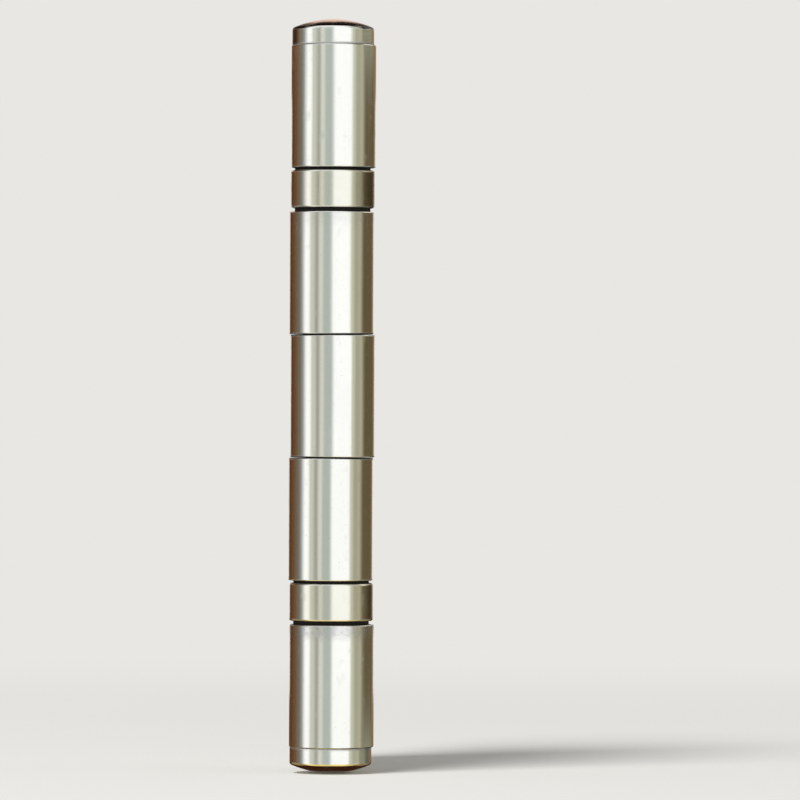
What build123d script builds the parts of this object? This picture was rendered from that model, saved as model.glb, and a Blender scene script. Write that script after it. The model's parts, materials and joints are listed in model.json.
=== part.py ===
from build123d import *
import math
import os

# A ball bearing butt hinge, shut, with its barrel upright.
# Lengths are in millimetres and angles in degrees.
# Everything is drawn about the pin: Z runs up the pin's axis from half height, the barrel shows
# on the -Y side, and the shut leaves run back along +Y, the frame leaf on +X and the door leaf on -X.
# The last step moves it all so that the origin is the centre of the frame leaf's mounting face.

# Leaves
leaf_height = 102.0
open_width = 76.0
leaf_thickness = 2.7
closed_gap = 1.6
edge_break = 0.1
free_corner_radius = 0.5

# Screw holes, countersunk from each leaf's inner face
screw_hole_diameter = 5.2
countersink_diameter = 9.8
countersink_angle = 90.0
outer_hole_edge_distance = 9.5
inner_hole_edge_distance = 23.0
outer_hole_spacing = 77.0
inner_hole_spacing = 27.0

# Pin and knuckles
pin_diameter = 7.0
pin_clearance = 0.05
pin_chamfer = 0.6
pin_end_gap = 0.3
knuckle_wall = 2.6
knuckle_gap = 0.08
knuckle_offset = 0.1
knuckle_edge_radius = 0.22
outer_bend_radius = 2.0
inner_bend_radius = 0.8
curl_seam = 0.25
curl_end_radius = 0.4
notch_clearance = 0.45
notch_corner_radius = 0.35

# Tips
tip_inset = 0.2
tip_band_height = 2.5
tip_dome_rise = 1.3
tip_edge_radius = 0.5
tip_seam_chamfer = 0.08
tip_stem_length = 5.0
tip_stem_clearance = 0.01
tip_stem_chamfer = 0.5

# Bearings
bearing_height = 6.4
casing_setback = 0.45
casing_lift = 0.08
casing_inset = 0.05
casing_wall = 0.35
casing_lip_height = 0.5
casing_edge_radius = 0.35
lip_reach = 0.2
race_fit = 0.05
race_bore_clearance = 0.08
shoulder_clearance = 0.05
race_spacing = 0.8
ball_diameter = 1.19
ball_count = 12
groove_clearance = 0.025
cage_thickness = 0.5
cage_side_clearance = 0.08
cage_pocket_clearance = 0.055

# Sizes that follow from those above
bore_radius = pin_diameter / 2 + pin_clearance
barrel_radius = bore_radius + knuckle_wall
inner_face_x = closed_gap / 2
mounting_face_x = inner_face_x + leaf_thickness
free_edge_y = open_width / 2
notch_edge_y = barrel_radius + notch_clearance
knuckle_height = (leaf_height - 2 * bearing_height - 2 * knuckle_gap) / 5
casing_height = bearing_height - 2 * casing_setback
casing_radius = barrel_radius - casing_inset
casing_bore_radius = casing_radius - casing_wall
race_bore_radius = pin_diameter / 2 + race_bore_clearance
race_radius = casing_bore_radius - race_fit
pitch_radius = (race_bore_radius + casing_bore_radius) / 2

# How near an edge has to lie to a place to count as being there
closeness = 0.001


def barrel_spans():
    """Bottom and top of each knuckle and bearing, walking down the barrel from its top."""
    order = (
        ("knuckle_1", knuckle_height, 0),
        ("upper_bearing", bearing_height, 0),
        ("knuckle_2", knuckle_height, knuckle_gap),
        ("knuckle_3", knuckle_height, knuckle_gap),
        ("knuckle_4", knuckle_height, 0),
        ("lower_bearing", bearing_height, 0),
        ("knuckle_5", knuckle_height, 0),
    )
    spans = {}
    top = leaf_height / 2
    for name, height, gap_below in order:
        spans[name] = (top - height, top)
        top -= height + gap_below
    return spans


def knuckle_profile():
    """The rolled end of a leaf, seen along the pin: the curl, its seam and the root that joins the plate.

    The curl is a little thicker on the bend's side, so it stands off centre towards its own leaf.
    """
    ring = Pos(knuckle_offset, 0) * Circle(barrel_radius) - Circle(bore_radius)
    root_start_y = (bore_radius + barrel_radius) / 2
    root_length = notch_edge_y - root_start_y
    root_centre = ((inner_face_x + mounting_face_x) / 2, root_start_y + root_length / 2)
    root = Pos(*root_centre) * Rectangle(leaf_thickness, root_length)
    seam_centre = (inner_face_x - curl_seam / 2, notch_edge_y / 2)
    seam = Pos(*seam_centre) * Rectangle(curl_seam, notch_edge_y)
    profile = ring + root - seam

    curl_end_x = inner_face_x - curl_seam
    rounded = (
        (curl_end_x, knuckle_offset, barrel_radius, curl_end_radius),
        (mounting_face_x, knuckle_offset, barrel_radius, outer_bend_radius),
        (inner_face_x, 0, bore_radius, inner_bend_radius),
    )
    for x, centre_x, circle_radius, radius in rounded:
        corner = (x, math.sqrt(circle_radius**2 - (x - centre_x) ** 2), 0)
        profile = fillet(profile.vertices().sort_by_distance(corner)[0], radius)
    return profile


def plate():
    """The flat of a leaf, full height, from the edge of its notches to its free edge."""
    width = free_edge_y - notch_edge_y
    centre_y = (free_edge_y + notch_edge_y) / 2
    centre_x = (inner_face_x + mounting_face_x) / 2
    blank = Pos(centre_x, centre_y, 0) * Box(leaf_thickness, width, leaf_height)
    free_corners = blank.edges().filter_by(Axis.X).group_by(Axis.Y)[-1]
    return fillet(free_corners, free_corner_radius)


def screw_hole():
    """The tool that cuts one hole, along X, with its countersink opening at the inner face."""
    radius = screw_hole_diameter / 2
    head_radius = countersink_diameter / 2
    head_depth = (head_radius - radius) / math.tan(math.radians(countersink_angle / 2))
    along_x = Rotation(0, 90, 0)
    align = (Align.CENTER, Align.CENTER, Align.MIN)
    shank = Cylinder(radius, leaf_thickness, align=align)
    head = Cone(head_radius, radius, head_depth, align=align)
    return Pos(inner_face_x, 0, 0) * along_x * (shank + head)


def screw_hole_places():
    """(y, z) of the four holes of a leaf: an outer pair near the free edge and an inner pair."""
    outer_y = free_edge_y - outer_hole_edge_distance
    inner_y = free_edge_y - inner_hole_edge_distance
    places = []
    for y, spacing in ((outer_y, outer_hole_spacing), (inner_y, inner_hole_spacing)):
        places += [(y, -spacing / 2), (y, spacing / 2)]
    return places


def knuckle_rims(body):
    """The round outer edges at the knuckles' ends."""
    circles = body.edges().filter_by(GeomType.CIRCLE)
    flat_circles = [edge for edge in circles if abs(edge.normal().Z) > 1 - closeness]
    return [edge for edge in flat_circles if abs(edge.radius - barrel_radius) < closeness]


def leaf(knuckles):
    """One leaf in one piece, on the +X side, with its knuckles rolled at these spans."""
    profile = knuckle_profile()
    body = plate()
    for bottom, top in knuckles:
        body += Pos(0, 0, bottom) * extrude(profile, top - bottom)
    for y, z in screw_hole_places():
        body -= Pos(0, y, z) * screw_hole()

    def inside(edge):
        return abs(edge.center().Z) < leaf_height / 2 - closeness

    notch_corners = [
        edge
        for edge in body.edges().filter_by(Axis.X)
        if abs(edge.center().Y - notch_edge_y) < closeness and inside(edge)
    ]
    body = fillet(notch_corners, notch_corner_radius)
    inner_rims = [edge for edge in knuckle_rims(body) if inside(edge)]
    body = fillet(inner_rims, knuckle_edge_radius)
    free_edges = body.edges().filter_by(Axis.Z).group_by(Axis.Y)[-1]
    outer_rims = [edge for edge in knuckle_rims(body) if not inside(edge)]
    return chamfer(outer_rims + free_edges, edge_break)


def hinge_pin():
    """The plain pin, standing on the bottom tip's stem, with a small gap under the top one."""
    bottom = -leaf_height / 2 + tip_stem_length
    top = leaf_height / 2 - tip_stem_length - pin_end_gap
    align = (Align.CENTER, Align.CENTER, Align.MIN)
    rod = Pos(0, 0, bottom) * Cylinder(pin_diameter / 2, top - bottom, align=align)
    return chamfer(rod.edges().filter_by(GeomType.CIRCLE), pin_chamfer)


def tip():
    """A turned button tip, standing on z = 0 with its stem below: a band under a low dome."""
    head_radius = barrel_radius - tip_inset
    stem_radius = bore_radius - tip_stem_clearance
    top = tip_band_height + tip_dome_rise
    outline = Polyline(
        (0, top),
        (0, -tip_stem_length),
        (stem_radius - tip_stem_chamfer, -tip_stem_length),
        (stem_radius, -tip_stem_length + tip_stem_chamfer),
        (stem_radius, 0),
        (head_radius - tip_seam_chamfer, 0),
        (head_radius, tip_seam_chamfer),
        (head_radius, tip_band_height),
    )
    dome_radius = (head_radius**2 + tip_dome_rise**2) / (2 * tip_dome_rise)
    dome = RadiusArc((head_radius, tip_band_height), (0, top), -dome_radius)
    section = make_face(outline + dome)
    rim = section.vertices().sort_by_distance((head_radius, tip_band_height, 0))[0]
    section = fillet(rim, tip_edge_radius)
    return revolve(Plane.XZ * section, Axis.Z)


def race():
    """The upper race of a bearing whose balls lie at z = 0: a grooved face below, a neck above."""
    face_z = race_spacing / 2
    shoulder_z = casing_height / 2 - casing_lip_height - casing_lift - shoulder_clearance
    neck_radius = race_radius - lip_reach
    outline = Polyline(
        (race_bore_radius, face_z),
        (race_radius, face_z),
        (race_radius, shoulder_z),
        (neck_radius, shoulder_z),
        (neck_radius, bearing_height / 2),
        (race_bore_radius, bearing_height / 2),
        close=True,
    )
    groove = Pos(pitch_radius, 0) * Circle(ball_diameter / 2 + groove_clearance)
    return revolve(Plane.XZ * (make_face(outline) - groove), Axis.Z)


def casing():
    """The sleeve that shows between two knuckles, its ends turned in over the races' shoulders.

    It rides a little above the bearing's middle, so the gap over it is narrower than the one below.
    """
    lip_radius = race_radius - lip_reach + shoulder_clearance
    half = casing_height / 2
    sleeve = Cylinder(casing_radius, casing_height)
    outer_rims = sleeve.edges().filter_by(GeomType.CIRCLE)
    sleeve = fillet(outer_rims, casing_edge_radius)
    inner_height = 2 * (half - casing_lip_height)
    sleeve = sleeve - Cylinder(lip_radius, casing_height) - Cylinder(casing_bore_radius, inner_height)
    return Pos(0, 0, casing_lift) * sleeve


def ball_places():
    """Where the balls of a bearing sit, evenly round its pitch circle."""
    return [Rotation(0, 0, 360 * i / ball_count) * Pos(pitch_radius, 0, 0) for i in range(ball_count)]


def cage():
    """The flat ring that keeps the balls apart, with a round pocket for each."""
    outer = casing_bore_radius - cage_side_clearance
    inner = race_bore_radius + cage_side_clearance
    ring = Cylinder(outer, cage_thickness) - Cylinder(inner, cage_thickness)
    pocket = Cylinder(ball_diameter / 2 + cage_pocket_clearance, cage_thickness)
    for place in ball_places():
        ring -= place * pocket
    return ring


def bearing(name, span):
    """Every piece of one bearing, in place on the pin."""
    middle = Pos(0, 0, (span[0] + span[1]) / 2)
    upper_race = race()
    pieces = {
        f"{name}_casing": middle * casing(),
        f"{name}_top_race": middle * upper_race,
        f"{name}_bottom_race": middle * mirror(upper_race, about=Plane.XY),
        f"{name}_cage": middle * cage(),
    }
    ball = Sphere(ball_diameter / 2)
    for i, place in enumerate(ball_places()):
        pieces[f"{name}_ball_{i + 1:02d}"] = middle * place * ball
    return pieces


def hinge():
    """Every piece of the hinge by name, about the pin's axis."""
    spans = barrel_spans()
    top_face = Pos(0, 0, leaf_height / 2)
    frame_knuckles = [spans[f"knuckle_{i}"] for i in (1, 3, 5)]
    door_knuckles = [spans[f"knuckle_{i}"] for i in (2, 4)]
    return {
        "frame_leaf": leaf(frame_knuckles),
        "door_leaf": mirror(leaf(door_knuckles), about=Plane.YZ),
        "hinge_pin": hinge_pin(),
        "top_tip": top_face * tip(),
        "bottom_tip": mirror(top_face * tip(), about=Plane.XY),
        **bearing("upper_bearing", spans["upper_bearing"]),
        **bearing("lower_bearing", spans["lower_bearing"]),
    }


os.makedirs("parts", exist_ok=True)
to_mounting_face = Pos(-mounting_face_x, -(free_edge_y + notch_edge_y) / 2, 0)
for name, piece in hinge().items():
    export_step(to_mounting_face * piece, f"parts/{name}.step")
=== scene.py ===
# The looks of a ball bearing hinge: polished steel pieces, a pale stage, soft light and a camera.
# Lengths are in metres and angles in degrees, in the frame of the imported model. Colours are given
# as they show on screen, from 0 to 255.
import json
import math
from collections import namedtuple

import bpy
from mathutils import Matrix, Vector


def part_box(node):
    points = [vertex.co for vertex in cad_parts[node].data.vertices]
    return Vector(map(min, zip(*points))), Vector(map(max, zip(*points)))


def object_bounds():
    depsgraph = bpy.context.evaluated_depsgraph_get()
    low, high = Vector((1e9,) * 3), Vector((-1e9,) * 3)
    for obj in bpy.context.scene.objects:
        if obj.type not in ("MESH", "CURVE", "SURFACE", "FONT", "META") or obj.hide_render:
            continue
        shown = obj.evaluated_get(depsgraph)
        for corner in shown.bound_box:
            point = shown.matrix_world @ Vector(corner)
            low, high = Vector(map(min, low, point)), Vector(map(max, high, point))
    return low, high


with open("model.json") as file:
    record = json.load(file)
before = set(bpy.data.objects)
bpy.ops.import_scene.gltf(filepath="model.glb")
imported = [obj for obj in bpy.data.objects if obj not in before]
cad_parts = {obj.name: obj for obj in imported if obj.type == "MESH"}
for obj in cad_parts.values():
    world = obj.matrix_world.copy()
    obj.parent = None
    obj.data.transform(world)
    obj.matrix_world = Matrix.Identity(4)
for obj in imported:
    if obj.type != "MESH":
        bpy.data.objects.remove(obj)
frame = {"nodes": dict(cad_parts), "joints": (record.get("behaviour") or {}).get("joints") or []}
cad_box = [list(corner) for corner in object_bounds()]

MM = 0.001
ALL_AZIMUTHS = (-180, 180)
ALL_ELEVATIONS = (-90, 90)

# The photograph: its width, where the barrel's middle shows in it, and its scale
PHOTO_WIDTH_PX = 800
BARREL_MIDDLE_PX = (331.85, 396.4)
PX_PER_MM = 6.875
# The camera: its sensor, how far off it stands, how far it leans and how far it sees
SENSOR_WIDTH_MM = 36
CAMERA_DISTANCE = 1.0
CAMERA_LEAN = 0.235
CAMERA_REACH = 20

# Places that the frame gives
PIN = frame["joints"][0]["pos_m"]
CASING_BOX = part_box("upper_bearing_casing")
BARREL_RADIUS = (CASING_BOX[1].x - CASING_BOX[0].x) / 2
LEAF_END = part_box("frame_leaf")[1].z - PIN[2]
FLOOR_Z = cad_box[0][2]

# Polishing lengthwise: the cells of the fine and of the broad streaks, the broad ones' share, and
# between which values of the mix a line rises
STREAK_CELLS = ((0.16 * MM, 0.16 * MM, 11 * MM), (0.55 * MM, 0.55 * MM, 30 * MM))
STREAK_BROAD_SHARE = 0.45
STREAK_RISE = (0.32, 0.68)
# Turning: the cells of the patches that break the rings up, their share, and the same rise
TURNED_PATCH_CELL = (2 * MM, 2 * MM, 0.8 * MM)
TURNED_PATCH_SHARE = 0.35
TURNED_RISE = (0.34, 0.66)
# Fine marks that run every way
SCRATCH_CELL = (0.12 * MM, 0.12 * MM, 0.12 * MM)
SCRATCH_RISE = (0.40, 0.62)
# What such a line does to the metal: the share and the shade of its colour, and how much rougher
# it is
LINE_SHARE = 0.25
LINE_SHADE = 0.92
LINE_ROUGHNESS = 0.06
# The slow waves that polishing leaves in a surface
WAVE_CELL = (3.5 * MM, 3.5 * MM, 14 * MM)
WAVE_DEPTH = 2.0e-6

# The marks of use: how large their cells are in millimetres and how detailed their noise is,
# between which of its values they appear, how dark the metal is there, that colour's share, and
# how much rougher the surface is
Mark = namedtuple("Mark", "cell detail start full shade share roughening")
MARKS = {
    "cloud": Mark((5.0, 5.0, 9.0), 3.0, 0.40, 0.65, shade=0.97, share=1.0, roughening=0.0),
    "smear": Mark((1.6, 1.6, 2.6), 4.0, 0.60, 0.72, shade=0.86, share=0.30, roughening=0.10),
    "speck": Mark((0.22, 0.22, 0.22), 1.0, 0.70, 0.78, shade=0.35, share=0.35, roughening=0.0),
}
SPECK_DEPTH = 1.5e-6
# Worn edges, lightened partly as wear and partly as a painted highlight: over what radius a normal
# is rounded to find them, how far it agrees with the true one where the lightening begins and where
# it is full, and the share and the shade of the lightened colour
EDGE_RADIUS = 0.12 * MM
EDGE_SAMPLES = 4
EDGE_AGREEMENT = (0.995, 0.90)
EDGE_SHARE = 0.5
EDGE_SHADE = 1.10
# Painted shade in crevices and between parts, dark, rough and not metal: how near others are,
# and how open a surface is where the painted shade begins and is full
CREVICE_SHADE = (16, 12, 8)
CREVICE_REACH = 0.45 * MM
CREVICE_SAMPLES = 16
CREVICE_OPENNESS = (1.0, 0.85)
CREVICE_ROUGHNESS = 0.85
# The seams at the barrel's two ends get less painted shade: from where towards the end, and its
# share
END_SEAMS = (LEAF_END - 0.8 * MM, LEAF_END - 0.3 * MM)
END_SEAM_SHADE = 0.5

# An overlay on the metal, real grease or painted shade: a function of the tree that gives where it
# lies, the colour that the metal has there and how much rougher it is
Film = namedtuple("Film", "mask colour roughening")
# Grease has crept down the knuckle below each bearing: how much of it there is, how far down it
# ends and stays full, the cells of its blotches, between which values of their noise it grows, and
# how much is left where it is thinnest
GREASE = (200, 199, 203)
GREASE_AMOUNTS = {"upper_bearing_casing": 0.35, "lower_bearing_casing": 1.0}
GREASE_REACH = (3.2 * MM, 1.4 * MM)
GREASE_CELL = (0.8 * MM, 0.8 * MM, 0.45 * MM)
GREASE_MOTTLE = (0.30, 0.70)
GREASE_EVENNESS = 0.45
# Painted shade, standing in for dark reflections, on the right side of the bearing casings and
# on one side of the two tips. For the upper and for the lower piece: the angle round the pin where
# it begins, is full, fades and is gone. Angle 0 is towards the camera and grows to the right.
CASING_SIDE_SHADE = (124, 116, 98)
CASING_SIDE_SHADE_SIDES = ((20, 70, 92, 118), (48, 70, 92, 118))
TIP_SIDE_SHADE = (106, 110, 110)
TIP_SIDE_SHADE_SIDES = ((-125, -100, -67, -53), (53, 67, 57, 80))
# Both keep to the outside of the barrel: how far inside its radius they begin and are full
OUTSIDE_START = (0.9 * MM, 0.4 * MM)
# A painted shade line on both sides of the top tip's shoulder, by angle and by its normal's upward
# part
SHOULDER_SHADE = (44, 42, 38)
SHOULDER_SIDES = (34, 48, 110, 140)
SHOULDER_NORMALS = (0.10, 0.30, 0.93, 0.98)
# Between which heights from the pin's middle the lower pieces give way to the upper ones
MIDDLE = (-MM, MM)
# A painted reflection of the warm floor, a straw tint on edges that look down, by their normal's
# upward part, and between which heights it grows downwards
DOWN_EDGE_REFLECTION = (238, 217, 150)
DOWN_EDGE_REFLECTION_NORMALS = (-0.90, -0.80, -0.34, -0.06)
DOWN_EDGE_REFLECTION_HEIGHTS = (12 * MM, -50 * MM)
# Grease and the painted straw reflection keep to the barrel: how far outside its radius they fade
# and are gone
BARREL_EDGE = (0.1 * MM, 0.6 * MM)
# The leaves' plates are brushed and not polished: how far outside the barrel's radius that begins
# and is full
PLATE_START = (0.3 * MM, 1.5 * MM)
PLATE_ROUGHNESS = 0.40
PLATE_METAL = 0.70
PLATE_LINE_SHARE = 0.60

# The stage: the floor fades into the background between two distances from its middle
BACKGROUND = (232, 231, 227)
FLOOR_COLOUR = (226, 225, 221)
FLOOR_RADIUS = 4.0
FLOOR_CORNERS = 96
FLOOR_FADE = (0.10, 0.45)
FLOOR_GRAIN_CELL = (30 * MM, 30 * MM, 30 * MM)
FLOOR_GRAIN_SHADE = 0.985
FILL_LEVEL = 0.42
LAMP_PLACE = (-0.9, -1.1, 2.0)
LAMP_SIZE = 1.1
LAMP_POWER = 50.0

# The light tent that the barrel reflects, as seen from the pin: azimuth 0 is towards the camera
# and grows to the right. Each colour is what polished steel, which gives back this share of the
# light, shows of that direction.
STEEL_SHARE = 0.78
TENT_RADIUS = 0.7
TENT_GRID = 4
# It is open at the back, between two azimuths and this far above and below the level
TENT_BACK_WINDOW = (156, 204, 6)
# The ring of cards and daylight at the level. A colour is held between two azimuths, and
# neighbours run into each other between them.
Card = namedtuple("Card", "what start end colour")
RING = (
    Card("door_face", -160, -142, (86, 55, 29)),
    Card("door_edge", -124, -120, (103, 73, 46)),
    Card("grey_frame", -104, -98, (110, 100, 85)),
    Card("grey_frame_front", -91, -88, (134, 137, 134)),
    Card("left_window", -75, -64, (254, 254, 250)),
    Card("green_wall", -58, -50, (195, 196, 182)),
    Card("wall_corner", -42, -38, (155, 156, 143)),
    Card("pale_wall", -32, -26, (210, 210, 198)),
    Card("blue_shade", -20, -4, (173, 180, 172)),
    Card("wide_window", 5, 51, (254, 255, 252)),
    Card("right_wall", 57, 61, (190, 190, 168)),
    Card("right_wall_shade", 68, 74, (160, 158, 136)),
    Card("cream_post", 82, 86, (172, 167, 143)),
    Card("dark_wood", 98, 140, (94, 82, 58)),
    Card("pale_wood", 150, 160, (140, 114, 80)),
)
# How far the ring's bands wander from upright, and over what distance
BAND_SWAY = 4.0
BAND_SWAY_CELL = (80 * MM, 80 * MM, 20 * MM)
# What lies above and below that ring, by elevation, in front and at the back
FRONT_COLUMN = (
    (-90, (124, 118, 106)),
    (-82, (176, 168, 150)),
    (-74, (220, 212, 190)),
    (-62, (236, 228, 206)),
    (-46, (236, 228, 206)),
    (-30, (226, 221, 206)),
    (0, (214, 224, 222)),
    (30, (226, 236, 236)),
    (90, (246, 248, 246)),
)
BACK_COLUMN = (
    (-90, (124, 118, 106)),
    (-66, (94, 74, 50)),
    (-60, (46, 24, 14)),
    (-12, (52, 28, 16)),
    (-4, (120, 92, 68)),
    (4, (214, 180, 160)),
    (30, (214, 182, 164)),
    (37, (16, 12, 8)),
    (60, (14, 11, 8)),
    (67, (236, 236, 232)),
    (90, (250, 250, 248)),
)
# Where the front gives way to the wall at the back, on both sides
WALL_SIDES = (90, 115)
# The light strip on that wall narrows away from its middle, faster on the right, up to the
# elevation where the dark above it ends: by how much for each degree, and where left gives way to
# right
STRIP_NARROWING = (0.02, 0.07)
STRIP_SIDES = (-1, 1)
STRIP_END = 58
# The column's share of the light near the level, and from where above and below it
COLUMN_SHARE = 0.28
COLUMN_START = (5, 14)
# Where the ring ends below and above, what share of that height it has at the back, and how far
# from the back that is so
RING_ENDS = ((-40, -62), (48, 80))
RING_BACK_SHARE = 0.12
RING_BACK_SIDES = (18, 55)
# Cards in front of both, for what looks a little up or down: the azimuths and the elevations at
# which each begins, is full, fades and is gone
EdgeCard = namedtuple("EdgeCard", "colour sides reach")
# The barrel's two ends, and edges that look a little up, see a paler card on the right. It leaves
# out the level: how far above and below it the card begins and is full.
PALE_CARD = EdgeCard((150, 151, 131), (90, 99, 132, 148), (-11.0, -9.0, 24.0, 30.0))
PALE_CARD_START = (6.5, 7.2)
# Below the level the wood on both sides gives way to grey
GREY_CARD = EdgeCard((132, 129, 122), (98, 110, 140, 152), (-56.0, -44.0, -13.0, -9.0))
# Above the level there is a bright card on the right, for the edges that look up
BRIGHT_CARD = EdgeCard((240, 234, 216), (100, 112, 158, 166), (13.0, 19.0, 44.0, 54.0))


def linear(colour):
    """A colour as it shows on screen, in the renderer's linear light, by the sRGB standard."""
    channels = []
    for value in colour:
        part = value / 255
        channels.append(part / 12.92 if part <= 0.04045 else ((part + 0.055) / 1.055) ** 2.4)
    return (*channels, 1.0)


def shade(colour, factor):
    """A linear colour made lighter or darker."""
    return (*(min(1.0, channel * factor) for channel in colour[:3]), 1.0)


def node(tree, kind, inputs=None, **settings):
    """A new shader node. An input is given a value, or the socket that feeds it."""
    made = tree.nodes.new("ShaderNode" + kind)
    for name, value in settings.items():
        setattr(made, name, value)
    for name, value in (inputs or {}).items():
        if isinstance(value, bpy.types.NodeSocket):
            tree.links.new(value, made.inputs[name])
        else:
            made.inputs[name].default_value = value
    return made


def calculate(tree, operation, *values, clamp=False):
    """One step of arithmetic, as a socket."""
    step = node(tree, "Math", dict(enumerate(values)), operation=operation, use_clamp=clamp)
    return step.outputs[0]


def product(tree, first, *others):
    """Values multiplied together, as a socket."""
    for other in others:
        first = calculate(tree, "MULTIPLY", first, other)
    return first


def spread(tree, value, low, high, to_low=0.0, to_high=1.0):
    """A value taken smoothly from one range to another, and held at its ends."""
    ranges = {"Value": value, "From Min": low, "From Max": high}
    ranges.update({"To Min": to_low, "To Max": to_high})
    return node(tree, "MapRange", ranges, interpolation_type="SMOOTHSTEP").outputs["Result"]


def within(tree, value, start, full, fading, gone):
    """1 while a value lies between two limits, with a smooth edge at each."""
    rising = spread(tree, value, start, full)
    return product(tree, rising, spread(tree, value, fading, gone, 1.0, 0.0))


def blend_colour(tree, share, first, second):
    """Two colours mixed, as a socket."""
    return node(tree, "Mix", {0: share, 6: first, 7: second}, data_type="RGBA").outputs[2]


def blend_value(tree, share, first, second):
    """Two numbers mixed, as a socket."""
    return node(tree, "Mix", {0: share, 2: first, 3: second}, data_type="FLOAT").outputs[0]


def ramp(tree, value, stops, low, high):
    """A colour ramp whose stops are given as (value, colour on screen) between two limits."""
    limits = {"Value": value, "From Min": low, "From Max": high}
    share = node(tree, "MapRange", limits).outputs["Result"]
    made = node(tree, "ValToRGB", {0: share})
    elements = made.color_ramp.elements
    while len(elements) > 1:
        elements.remove(elements[-1])
    for index, (at, colour) in enumerate(stops):
        position = (at - low) / (high - low)
        element = elements[0] if index == 0 else elements.new(position)
        element.position = position
        element.color = linear(colour)
    return made.outputs[0]


def new_material(name):
    """An empty node material with its output."""
    material = bpy.data.materials.new(name)
    material.use_nodes = True
    tree = material.node_tree
    tree.nodes.clear()
    return material, tree, node(tree, "OutputMaterial")


def own_place(tree):
    """The object's own coordinates, in metres."""
    return node(tree, "TexCoord").outputs["Object"]


def place(tree, cell):
    """The object's own coordinates, counted in cells of a given size along x, y and z."""
    scale = tuple(1 / size for size in cell)
    return node(tree, "Mapping", {"Vector": own_place(tree), "Scale": scale}).outputs[0]


def from_pin(tree):
    """The place counted from the pin's middle along x, y and z, as sockets, in metres."""
    away = node(tree, "VectorMath", {0: own_place(tree), 1: PIN}, operation="SUBTRACT").outputs[0]
    return node(tree, "SeparateXYZ", {0: away}).outputs


def round_pin(tree):
    """Distance from the pin's axis and height, as sockets, in metres."""
    x, y, z = from_pin(tree)
    across = calculate(tree, "POWER", x, 2.0)
    along = calculate(tree, "POWER", y, 2.0)
    return calculate(tree, "SQRT", calculate(tree, "ADD", across, along)), z


def azimuth_of(tree, x, y):
    """The direction of a place round the pin: 0 towards the camera and growing to the right."""
    towards_camera = calculate(tree, "MULTIPLY", y, -1.0)
    return calculate(tree, "DEGREES", calculate(tree, "ARCTAN2", x, towards_camera))


def turned_place(tree, cell):
    """Coordinates that are the same all round the pin, so that a pattern on them is rings."""
    radius, height = round_pin(tree)
    rings = node(tree, "CombineXYZ", {0: radius, 1: 0.0, 2: height}).outputs[0]
    return node(tree, "Mapping", {"Vector": rings, "Scale": (1 / cell, 1.0, 1 / cell)}).outputs[0]


def noise(tree, where, detail=2.0, roughness=0.5):
    """Smooth noise from 0 to 1 on the coordinates given."""
    inputs = {"Vector": where, "Scale": 1.0, "Detail": detail, "Roughness": roughness}
    return node(tree, "TexNoise", inputs).outputs[0]


def true_normal(tree):
    """The surface's normal."""
    return node(tree, "NewGeometry").outputs["Normal"]


def upward_part(tree):
    """How much the surface looks up: 1 up, 0 sideways, -1 down."""
    return node(tree, "SeparateXYZ", {0: true_normal(tree)}).outputs[2]


def bump(tree, height, depth, normal=None):
    """A bump of a given depth in metres where the height goes from 0 to 1."""
    inputs = {"Height": height, "Distance": depth, "Strength": 1.0}
    if normal is not None:
        inputs["Normal"] = normal
    return node(tree, "Bump", inputs).outputs[0]


def edge_mask(tree):
    """1 on edges, from how far a rounded normal leaves the true one."""
    rounded = node(tree, "Bevel", {"Radius": EDGE_RADIUS}, samples=EDGE_SAMPLES).outputs[0]
    normals = {0: rounded, 1: true_normal(tree)}
    agree = node(tree, "VectorMath", normals, operation="DOT_PRODUCT").outputs["Value"]
    return spread(tree, agree, *EDGE_AGREEMENT)


def crevice_shade_mask(tree):
    """1 where the surface is shut in by others close by, where painted shade goes."""
    reach = {"Distance": CREVICE_REACH}
    openness = node(tree, "AmbientOcclusion", reach, samples=CREVICE_SAMPLES).outputs["AO"]
    _, height = round_pin(tree)
    held = spread(tree, calculate(tree, "ABSOLUTE", height), *END_SEAMS, 1.0, END_SEAM_SHADE)
    return product(tree, spread(tree, openness, *CREVICE_OPENNESS), held)


def barrel_mask(tree):
    """1 on the barrel, 0 on the plates."""
    radius, _ = round_pin(tree)
    return spread(tree, radius, *(BARREL_RADIUS + edge for edge in BARREL_EDGE), 1.0, 0.0)


def plate_mask(tree):
    """1 where a leaf is its plate, which is brushed and not polished."""
    radius, _ = round_pin(tree)
    return spread(tree, radius, *(BARREL_RADIUS + start for start in PLATE_START))


def down_edge_reflection_mask(tree):
    """1 on the barrel's edges that look down, not on level undersides: where the painted reflection
    of the warm floor goes.
    """
    _, height = round_pin(tree)
    low = spread(tree, height, *DOWN_EDGE_REFLECTION_HEIGHTS)
    return product(tree, low, barrel_mask(tree), within(tree, upward_part(tree), *DOWN_EDGE_REFLECTION_NORMALS))


def grease_mask(tree):
    """Where grease has crept down the knuckle below each bearing."""
    _, height = round_pin(tree)
    blotches = noise(tree, place(tree, GREASE_CELL), detail=2.0, roughness=0.6)
    mottle = spread(tree, blotches, *GREASE_MOTTLE, to_low=GREASE_EVENNESS)
    reach, full = GREASE_REACH
    spilt = 0.0
    for casing, amount in GREASE_AMOUNTS.items():
        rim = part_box(casing)[0].z - PIN[2]
        below = within(tree, height, rim - reach, rim - full, rim, rim + full)
        spilt = calculate(tree, "MULTIPLY_ADD", below, amount, spilt)
    return product(tree, spilt, mottle, barrel_mask(tree))


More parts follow.
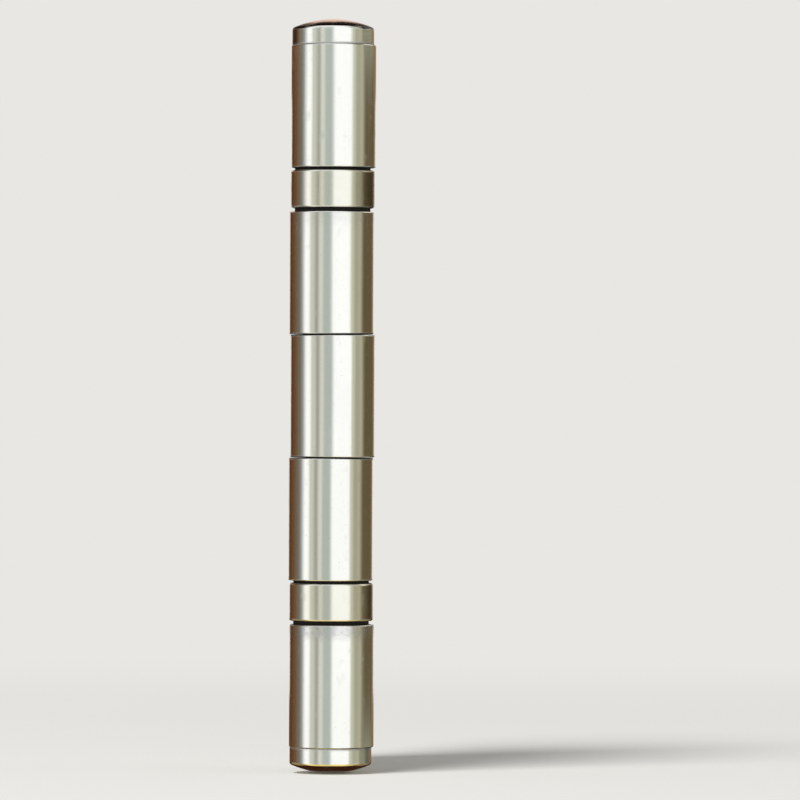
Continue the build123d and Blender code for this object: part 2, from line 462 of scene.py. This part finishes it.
def one_side(sides):
    """Where painted shade lies on one side of the upper and lower piece, as a function of the tree.
    """
    def overlay(tree):
        x, y, z = from_pin(tree)
        on_upper = spread(tree, z, *MIDDLE)
        limits = [blend_value(tree, on_upper, lower, upper) for upper, lower in zip(*sides)]
        radius, _ = round_pin(tree)
        outside = spread(tree, radius, *(BARREL_RADIUS - start for start in OUTSIDE_START))
        return product(tree, outside, within(tree, azimuth_of(tree, x, y), *limits))
    return overlay


def shoulder_shade_mask(tree):
    """Where the top tip's shoulder gets a painted shade line."""
    x, y, z = from_pin(tree)
    turn = calculate(tree, "ABSOLUTE", azimuth_of(tree, x, y))
    sides = within(tree, turn, *SHOULDER_SIDES)
    rounding = within(tree, upward_part(tree), *SHOULDER_NORMALS)
    return product(tree, sides, spread(tree, z, *MIDDLE), rounding)


def polished_lengthwise(tree):
    """Fine streaks up and down the barrel and along the plates."""
    fine_cell, broad_cell = STREAK_CELLS
    fine = noise(tree, place(tree, fine_cell), detail=3.0, roughness=0.6)
    broad = noise(tree, place(tree, broad_cell), detail=1.0)
    return spread(tree, blend_value(tree, STREAK_BROAD_SHARE, fine, broad), *STREAK_RISE)


def turned(cell):
    """Fine rings left by a lathe, as a function of the tree."""
    def lines(tree):
        rings = noise(tree, turned_place(tree, cell), detail=2.0, roughness=0.6)
        patches = noise(tree, place(tree, TURNED_PATCH_CELL), detail=2.0)
        return spread(tree, blend_value(tree, TURNED_PATCH_SHARE, rings, patches), *TURNED_RISE)
    return lines


def scratched(tree):
    """Fine marks that run every way."""
    return spread(tree, noise(tree, place(tree, SCRATCH_CELL), detail=3.0), *SCRATCH_RISE)


def add_marks(tree, colour, tone, rough, normal):
    """The marks of use on a metal of this colour: its tone, roughness and normal with them."""
    for key, mark in MARKS.items():
        where = place(tree, [size * MM for size in mark.cell])
        found = spread(tree, noise(tree, where, mark.detail), mark.start, mark.full)
        there = product(tree, found, mark.share)
        tone = blend_colour(tree, there, tone, shade(colour, mark.shade))
        rough = calculate(tree, "MULTIPLY_ADD", found, mark.roughening, rough)
        if key == "speck":
            normal = bump(tree, found, -SPECK_DEPTH, normal)
    return tone, rough, normal


def metal(name, colour, roughness, lines, line_depth, plates=None, overlays=()):
    """A worn metal, with painted shade, painted highlights and a painted reflection.

    lines is a function of the tree that gives the fine lines that polishing or turning left.
    plates is a function of the tree that gives where the finish is only brushed.
    overlays are what lies on the metal, grease and painted shade, each an Overlay.
    """
    material, tree, output = new_material(name)
    colour = linear(colour)
    line = lines(tree)
    rough = calculate(tree, "MULTIPLY_ADD", line, LINE_ROUGHNESS, roughness)
    line_share = LINE_SHARE
    bare = 1.0
    if plates is not None:
        brushed = plates(tree)
        rough = blend_value(tree, brushed, rough, PLATE_ROUGHNESS)
        line_share = blend_value(tree, brushed, LINE_SHARE, PLATE_LINE_SHARE)
        bare = blend_value(tree, brushed, 1.0, PLATE_METAL)
    lined = product(tree, line, line_share)
    tone = blend_colour(tree, lined, colour, shade(colour, LINE_SHADE))
    normal = bump(tree, line, line_depth)
    normal = bump(tree, noise(tree, place(tree, WAVE_CELL), detail=1.0), WAVE_DEPTH, normal)

    tone, rough, normal = add_marks(tree, colour, tone, rough, normal)
    for overlay in overlays:
        dull = overlay.mask(tree)
        tone = blend_colour(tree, dull, tone, linear(overlay.colour))
        rough = calculate(tree, "MULTIPLY_ADD", dull, overlay.roughening, rough)

    # Edges lightened, partly as wear and partly as a painted highlight
    worn_and_lit = product(tree, edge_mask(tree), EDGE_SHARE)
    # Painted shade in the crevices: dark, rough and not metal
    crevice_shade = crevice_shade_mask(tree)
    tone = blend_colour(tree, worn_and_lit, tone, shade(colour, EDGE_SHADE))
    # A painted reflection of the warm floor on edges that look down
    tone = blend_colour(tree, down_edge_reflection_mask(tree), tone, linear(DOWN_EDGE_REFLECTION))
    tone = blend_colour(tree, crevice_shade, tone, linear(CREVICE_SHADE))
    rough = blend_value(tree, crevice_shade, rough, CREVICE_ROUGHNESS)
    bare = product(tree, bare, calculate(tree, "SUBTRACT", 1.0, crevice_shade))

    inputs = {"Base Color": tone, "Metallic": bare, "Roughness": rough, "Normal": normal}
    surface = node(tree, "BsdfPrincipled", inputs).outputs[0]
    tree.links.new(surface, output.inputs[0])
    return material


def materials():
    """Each finish, by the word that the names of its nodes hold."""
    return {
        "leaf": metal(
            "leaf_steel_finish", colour=(229, 229, 227), roughness=0.09,
            lines=polished_lengthwise, line_depth=2e-7, plates=plate_mask,
            overlays=[Film(grease_mask, GREASE, roughening=0.15)],
        ),
        "tip": metal(
            "tip_steel_finish", colour=(230, 230, 228), roughness=0.09,
            lines=turned(0.12 * MM), line_depth=2e-7,
            overlays=[
                # Painted shade on one side of each tip, standing in for a dark reflection
                Film(one_side(TIP_SIDE_SHADE_SIDES), TIP_SIDE_SHADE, roughening=0.05),
                # A painted shade line along the top tip's shoulder
                Film(shoulder_shade_mask, SHOULDER_SHADE, roughening=0.20),
            ],
        ),
        "casing": metal(
            "casing_steel_finish", colour=(226, 224, 217), roughness=0.12,
            lines=turned(0.16 * MM), line_depth=2e-7,
            # Painted shade on the casings' right side, standing in for a dark reflection
            overlays=[Film(one_side(CASING_SIDE_SHADE_SIDES), CASING_SIDE_SHADE, roughening=0.05)],
        ),
        "pin": metal(
            "pin_steel_finish", colour=(214, 214, 212), roughness=0.24,
            lines=turned(0.10 * MM), line_depth=5e-7,
        ),
        "race": metal(
            "race_steel_finish", colour=(140, 137, 132), roughness=0.24,
            lines=turned(0.10 * MM), line_depth=4e-7,
        ),
        "ball": metal(
            "ball_steel_finish", colour=(232, 232, 233), roughness=0.08,
            lines=scratched, line_depth=1e-7,
        ),
        "cage": metal(
            "cage_brass_finish", colour=(222, 186, 112), roughness=0.28,
            lines=scratched, line_depth=5e-7,
        ),
    }


def dress():
    """Gives every node of the model its finish."""
    finishes = materials()
    for name, piece in frame["nodes"].items():
        words = name.split("_")
        finish = next(key for key in finishes if key in words)
        piece.data.materials.clear()
        piece.data.materials.append(finishes[finish])


def tent_direction(tree):
    """The azimuth, which sways a little, and the elevation of a place on the tent."""
    x, y, z = node(tree, "SeparateXYZ", {0: own_place(tree)}).outputs
    sway = calculate(tree, "SUBTRACT", noise(tree, place(tree, BAND_SWAY_CELL), detail=1.0), 0.5)
    azimuth = calculate(tree, "MULTIPLY_ADD", sway, BAND_SWAY * 2, azimuth_of(tree, x, y))
    height = calculate(tree, "DIVIDE", z, TENT_RADIUS)
    return azimuth, calculate(tree, "DEGREES", calculate(tree, "ARCSINE", height))


def tent_column(tree, azimuth, elevation):
    """The light above and below the ring."""
    turn = calculate(tree, "ABSOLUTE", azimuth)
    off_back = calculate(tree, "SUBTRACT", 180.0, turn)
    rate = spread(tree, azimuth, *STRIP_SIDES, *STRIP_NARROWING)
    narrowing = calculate(tree, "MULTIPLY_ADD", off_back, rate, 1.0)
    narrowed = calculate(tree, "MINIMUM", product(tree, elevation, narrowing), STRIP_END)
    strip_level = calculate(tree, "MAXIMUM", elevation, narrowed)
    front = ramp(tree, elevation, FRONT_COLUMN, *ALL_ELEVATIONS)
    back = ramp(tree, strip_level, BACK_COLUMN, *ALL_ELEVATIONS)
    return blend_colour(tree, spread(tree, turn, *WALL_SIDES), front, back)


def tent_ring(tree, azimuth):
    """The light of the ring of cards."""
    stops = [(side, card.colour) for card in RING for side in (card.start, card.end)]
    return ramp(tree, azimuth, stops, *ALL_AZIMUTHS)


def column_share(tree, azimuth, elevation):
    """How much of the light is the column's: a part near the level and all of it past the ring."""
    off_level = calculate(tree, "ABSOLUTE", elevation)
    off_back = calculate(tree, "SUBTRACT", 180.0, calculate(tree, "ABSOLUTE", azimuth))
    ring_share = spread(tree, off_back, *RING_BACK_SIDES, to_low=RING_BACK_SHARE)
    level = calculate(tree, "DIVIDE", elevation, ring_share)
    below, above = RING_ENDS
    ended = calculate(tree, "ADD", spread(tree, level, *above), spread(tree, level, *below))
    near = product(tree, spread(tree, off_level, *COLUMN_START), COLUMN_SHARE)
    return calculate(tree, "MAXIMUM", near, ended)


def add_edge_cards(tree, light, azimuth, elevation):
    """The light with the cards that stand in front of the ring and the column."""
    def seen(card, sideways):
        return product(
            tree, within(tree, sideways, *card.sides), within(tree, elevation, *card.reach)
        )

    off_level = calculate(tree, "ABSOLUTE", elevation)
    on_both_sides = calculate(tree, "ABSOLUTE", azimuth)
    started = spread(tree, off_level, *PALE_CARD_START)
    light = blend_colour(
        tree, product(tree, seen(PALE_CARD, azimuth), started), light, linear(PALE_CARD.colour)
    )
    light = blend_colour(tree, seen(GREY_CARD, on_both_sides), light, linear(GREY_CARD.colour))
    return blend_colour(tree, seen(BRIGHT_CARD, azimuth), light, linear(BRIGHT_CARD.colour))


def tent_material():
    """The glow of the light tent, by direction from the pin."""
    material, tree, output = new_material("light_tent")
    azimuth, elevation = tent_direction(tree)
    column = tent_column(tree, azimuth, elevation)
    share = column_share(tree, azimuth, elevation)
    light = blend_colour(tree, share, tent_ring(tree, azimuth), column)
    light = add_edge_cards(tree, light, azimuth, elevation)
    glow = node(tree, "Emission", {"Color": light, "Strength": 1 / STEEL_SHARE}).outputs[0]
    tree.links.new(glow, output.inputs[0])
    material.cycles.emission_sampling = "NONE"
    return material


def add_object(name, data):
    """A new object in the scene."""
    made = bpy.data.objects.new(name, data)
    bpy.context.scene.collection.objects.link(made)
    return made


def grid_angles(start, end):
    """The angles of the tent's grid from one to another, in radians."""
    count = max(2, round((end - start) / TENT_GRID))
    return [math.radians(start + (end - start) * step / count) for step in range(count + 1)]


def tent_panel(name, azimuths, elevations, material):
    """A piece of a sphere round the pin, between two azimuths and two elevations."""
    turns = grid_angles(*azimuths)
    rises = grid_angles(*elevations)
    points = []
    for rise in rises:
        level = TENT_RADIUS * math.cos(rise)
        height = TENT_RADIUS * math.sin(rise)
        points.extend((level * math.sin(turn), -level * math.cos(turn), height) for turn in turns)
    faces = []
    across = len(turns)
    for row in range(len(rises) - 1):
        for corner in range(row * across, row * across + across - 1):
            faces.append((corner, corner + 1, corner + across + 1, corner + across))
    mesh = bpy.data.meshes.new(name)
    mesh.from_pydata(points, [], faces)
    mesh.materials.append(material)
    panel = add_object(name, mesh)
    panel.location = PIN
    for ray in ("camera", "diffuse", "transmission", "volume_scatter", "shadow"):
        setattr(panel, "visible_" + ray, False)


def add_tent():
    """The tent that only mirror-like reflections show, open at the back at the hinge's level."""
    material = tent_material()
    left, right, half_height = TENT_BACK_WINDOW
    lowest, highest = ALL_ELEVATIONS
    tent_panel("tent_front", (right - 360, left), ALL_ELEVATIONS, material)
    tent_panel("tent_back_top", (left, right), (half_height, highest), material)
    tent_panel("tent_back_bottom", (left, right), (lowest, -half_height), material)


def floor_material():
    """A pale floor that takes the hinge's shadow and fades into the background further out."""
    material, tree, output = new_material("pale_floor")
    distance = node(tree, "VectorMath", {0: own_place(tree)}, operation="LENGTH").outputs["Value"]
    grain = noise(tree, place(tree, FLOOR_GRAIN_CELL), detail=3.0)
    pale = linear(FLOOR_COLOUR)
    colour = blend_colour(tree, grain, pale, shade(pale, FLOOR_GRAIN_SHADE))
    near = node(tree, "BsdfDiffuse", {"Color": colour}).outputs[0]
    far = node(tree, "Emission", {"Color": linear(BACKGROUND), "Strength": 1.0}).outputs[0]
    away = spread(tree, distance, *FLOOR_FADE)
    faded = node(tree, "MixShader", {0: away, 1: near, 2: far}).outputs[0]
    tree.links.new(faded, output.inputs[0])
    material.cycles.emission_sampling = "NONE"
    return material


def add_floor():
    """A round floor under the hinge."""
    bpy.ops.mesh.primitive_circle_add(
        vertices=FLOOR_CORNERS, radius=FLOOR_RADIUS, fill_type="NGON",
        location=(PIN[0], PIN[1], FLOOR_Z),
    )
    floor = bpy.context.object
    floor.name = "floor"
    floor.data.materials.append(floor_material())
    floor.visible_glossy = False
    return floor


def add_world():
    """A pale background for the eye, mirrors and glass, and a plain level of light on the rest."""
    world = bpy.data.worlds.new("pale_world")
    world.use_nodes = True
    tree = world.node_tree
    tree.nodes.clear()
    ray = node(tree, "LightPath").outputs
    seen = calculate(tree, "ADD", ray["Is Camera Ray"], ray["Is Glossy Ray"])
    seen = calculate(tree, "ADD", seen, ray["Is Transmission Ray"], clamp=True)
    pale = node(tree, "Background", {"Color": linear(BACKGROUND), "Strength": 1.0}).outputs[0]
    fill = node(tree, "Background", {"Color": (1, 1, 1, 1), "Strength": FILL_LEVEL}).outputs[0]
    both = node(tree, "MixShader", {0: seen, 1: fill, 2: pale}).outputs[0]
    output = node(tree, "OutputWorld")
    tree.links.new(both, output.inputs[0])
    bpy.context.scene.world = world


def add_lamp(floor):
    """One large soft lamp over the camera's left shoulder, for the floor and the shadow."""
    data = bpy.data.lights.new("soft_lamp", "AREA")
    data.shape = "DISK"
    data.size = LAMP_SIZE
    data.energy = LAMP_POWER
    lamp = add_object("soft_lamp", data)
    lamp.location = LAMP_PLACE
    aim = floor.location - lamp.location
    lamp.rotation_euler = aim.to_track_quat("-Z", "Y").to_euler()
    lamp.visible_glossy = False


def add_camera():
    """The camera where the photographer stood, level and square to the barrel, to its right."""
    data = bpy.data.cameras.new("camera")
    data.sensor_width = SENSOR_WIDTH_MM
    pixel = MM / PX_PER_MM
    data.lens = CAMERA_DISTANCE / (PHOTO_WIDTH_PX * pixel) * SENSOR_WIDTH_MM
    data.clip_end = CAMERA_REACH
    camera = add_object("camera", data)
    right = (PHOTO_WIDTH_PX / 2 - BARREL_MIDDLE_PX[0]) * pixel
    up = (BARREL_MIDDLE_PX[1] - PHOTO_WIDTH_PX / 2) * pixel
    camera.location = (PIN[0] + right, PIN[1] - CAMERA_DISTANCE, PIN[2] + up)
    camera.rotation_euler = (math.radians(90), math.radians(-CAMERA_LEAN), 0)
    bpy.context.scene.camera = camera


dress()
add_lamp(add_floor())
add_tent()
add_world()
add_camera()
bpy.context.scene.view_settings.view_transform = "Standard"
